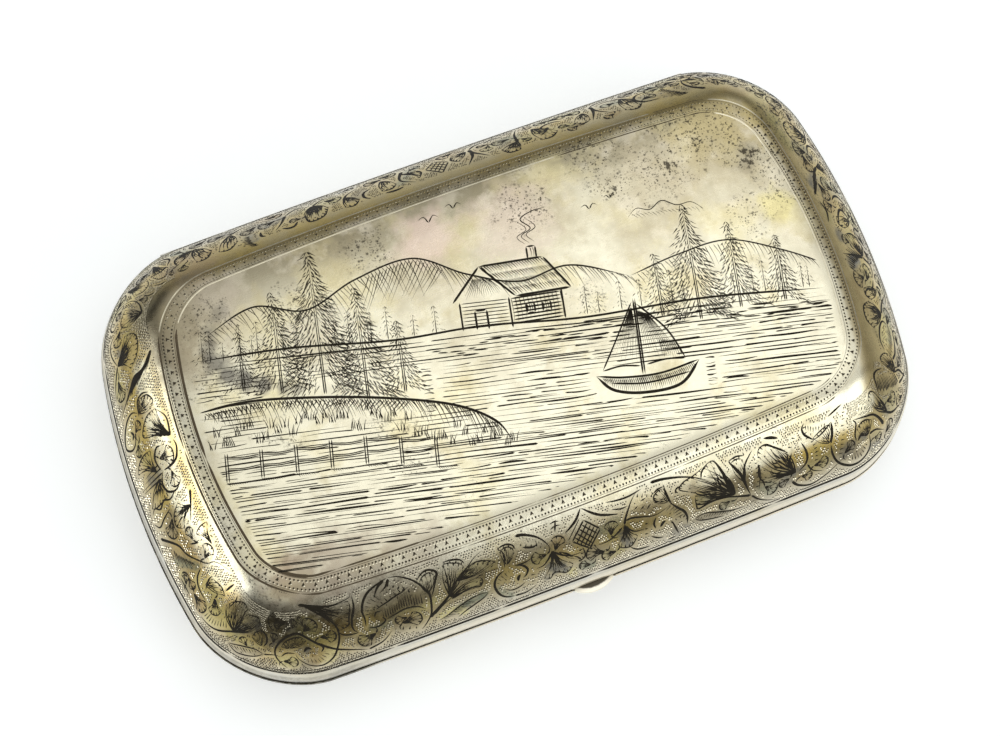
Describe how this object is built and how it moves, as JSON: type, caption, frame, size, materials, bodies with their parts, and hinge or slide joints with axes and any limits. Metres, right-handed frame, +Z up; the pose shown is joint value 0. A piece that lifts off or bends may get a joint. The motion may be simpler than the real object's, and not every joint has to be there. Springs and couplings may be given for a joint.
{
  "type": "cigarette case",
  "caption": "Hinged silver cigarette case with cushion-shaped engraved lid, sprung thumb piece, nested bezel and elastic bands inside both halves.",
  "frame": {"origin": "centre of the case's bounding box on the plane of its flat underside", "axes": "+X along the long side, +Y towards the hinge with the thumb piece at -Y, +Z up through the lid"},
  "size_m": [0.11, 0.0666, 0.0259],
  "materials": {
    "engraved_silver": "worn silver with thin yellow gilding and dark-filled engraving",
    "rim_silver": "plain worn silver, softly polished",
    "gilt_wire": "gilt silver wire",
    "spring_steel": "oiled spring steel",
    "elastic_web": "woven elastic band"
  },
  "bodies": {
    "base": {"base_cover": "engraved_silver", "base_frame": "rim_silver", "base_bezel_left": "rim_silver", "base_bezel_right": "rim_silver", "base_hinge_bearer": "rim_silver", "base_knuckle_1": "rim_silver", "base_knuckle_2": "rim_silver", "base_knuckle_3": "rim_silver", "base_knuckle_4": "rim_silver", "base_knuckle_5": "rim_silver", "hinge_pin": "spring_steel", "base_band": "elastic_web", "base_band_staple_back": "gilt_wire", "base_band_staple_front": "gilt_wire", "catch_rivet_1": "rim_silver", "catch_rivet_2": "rim_silver"},
    "lid": {"lid_cover": "engraved_silver", "lid_frame": "rim_silver", "lid_hinge_bearer": "rim_silver", "lid_knuckle_1": "rim_silver", "lid_knuckle_2": "rim_silver", "lid_knuckle_3": "rim_silver", "lid_knuckle_4": "rim_silver", "lid_strike": "rim_silver", "lid_band": "elastic_web", "lid_band_staple_back": "gilt_wire", "lid_band_staple_front": "gilt_wire"},
    "catch": {"thumb_piece": "rim_silver", "catch_spring": "spring_steel", "catch_nose": "spring_steel"}
  },
  "joints": [
    {"name": "lid_hinge", "type": "hinge", "parent": "base", "child": "lid", "pos_m": [0, 0.03165, 0.01], "axis": [-1, 0, 0], "range_deg": [0, 110]},
    {"name": "catch_press", "type": "hinge", "parent": "base", "child": "catch", "pos_m": [0.019, -0.03015, 0.01], "axis": [0, 0, -1], "range_deg": [0, 1.7], "stiffness_Nm_per_rad": 1, "springref_deg": -1.15}
  ]
}
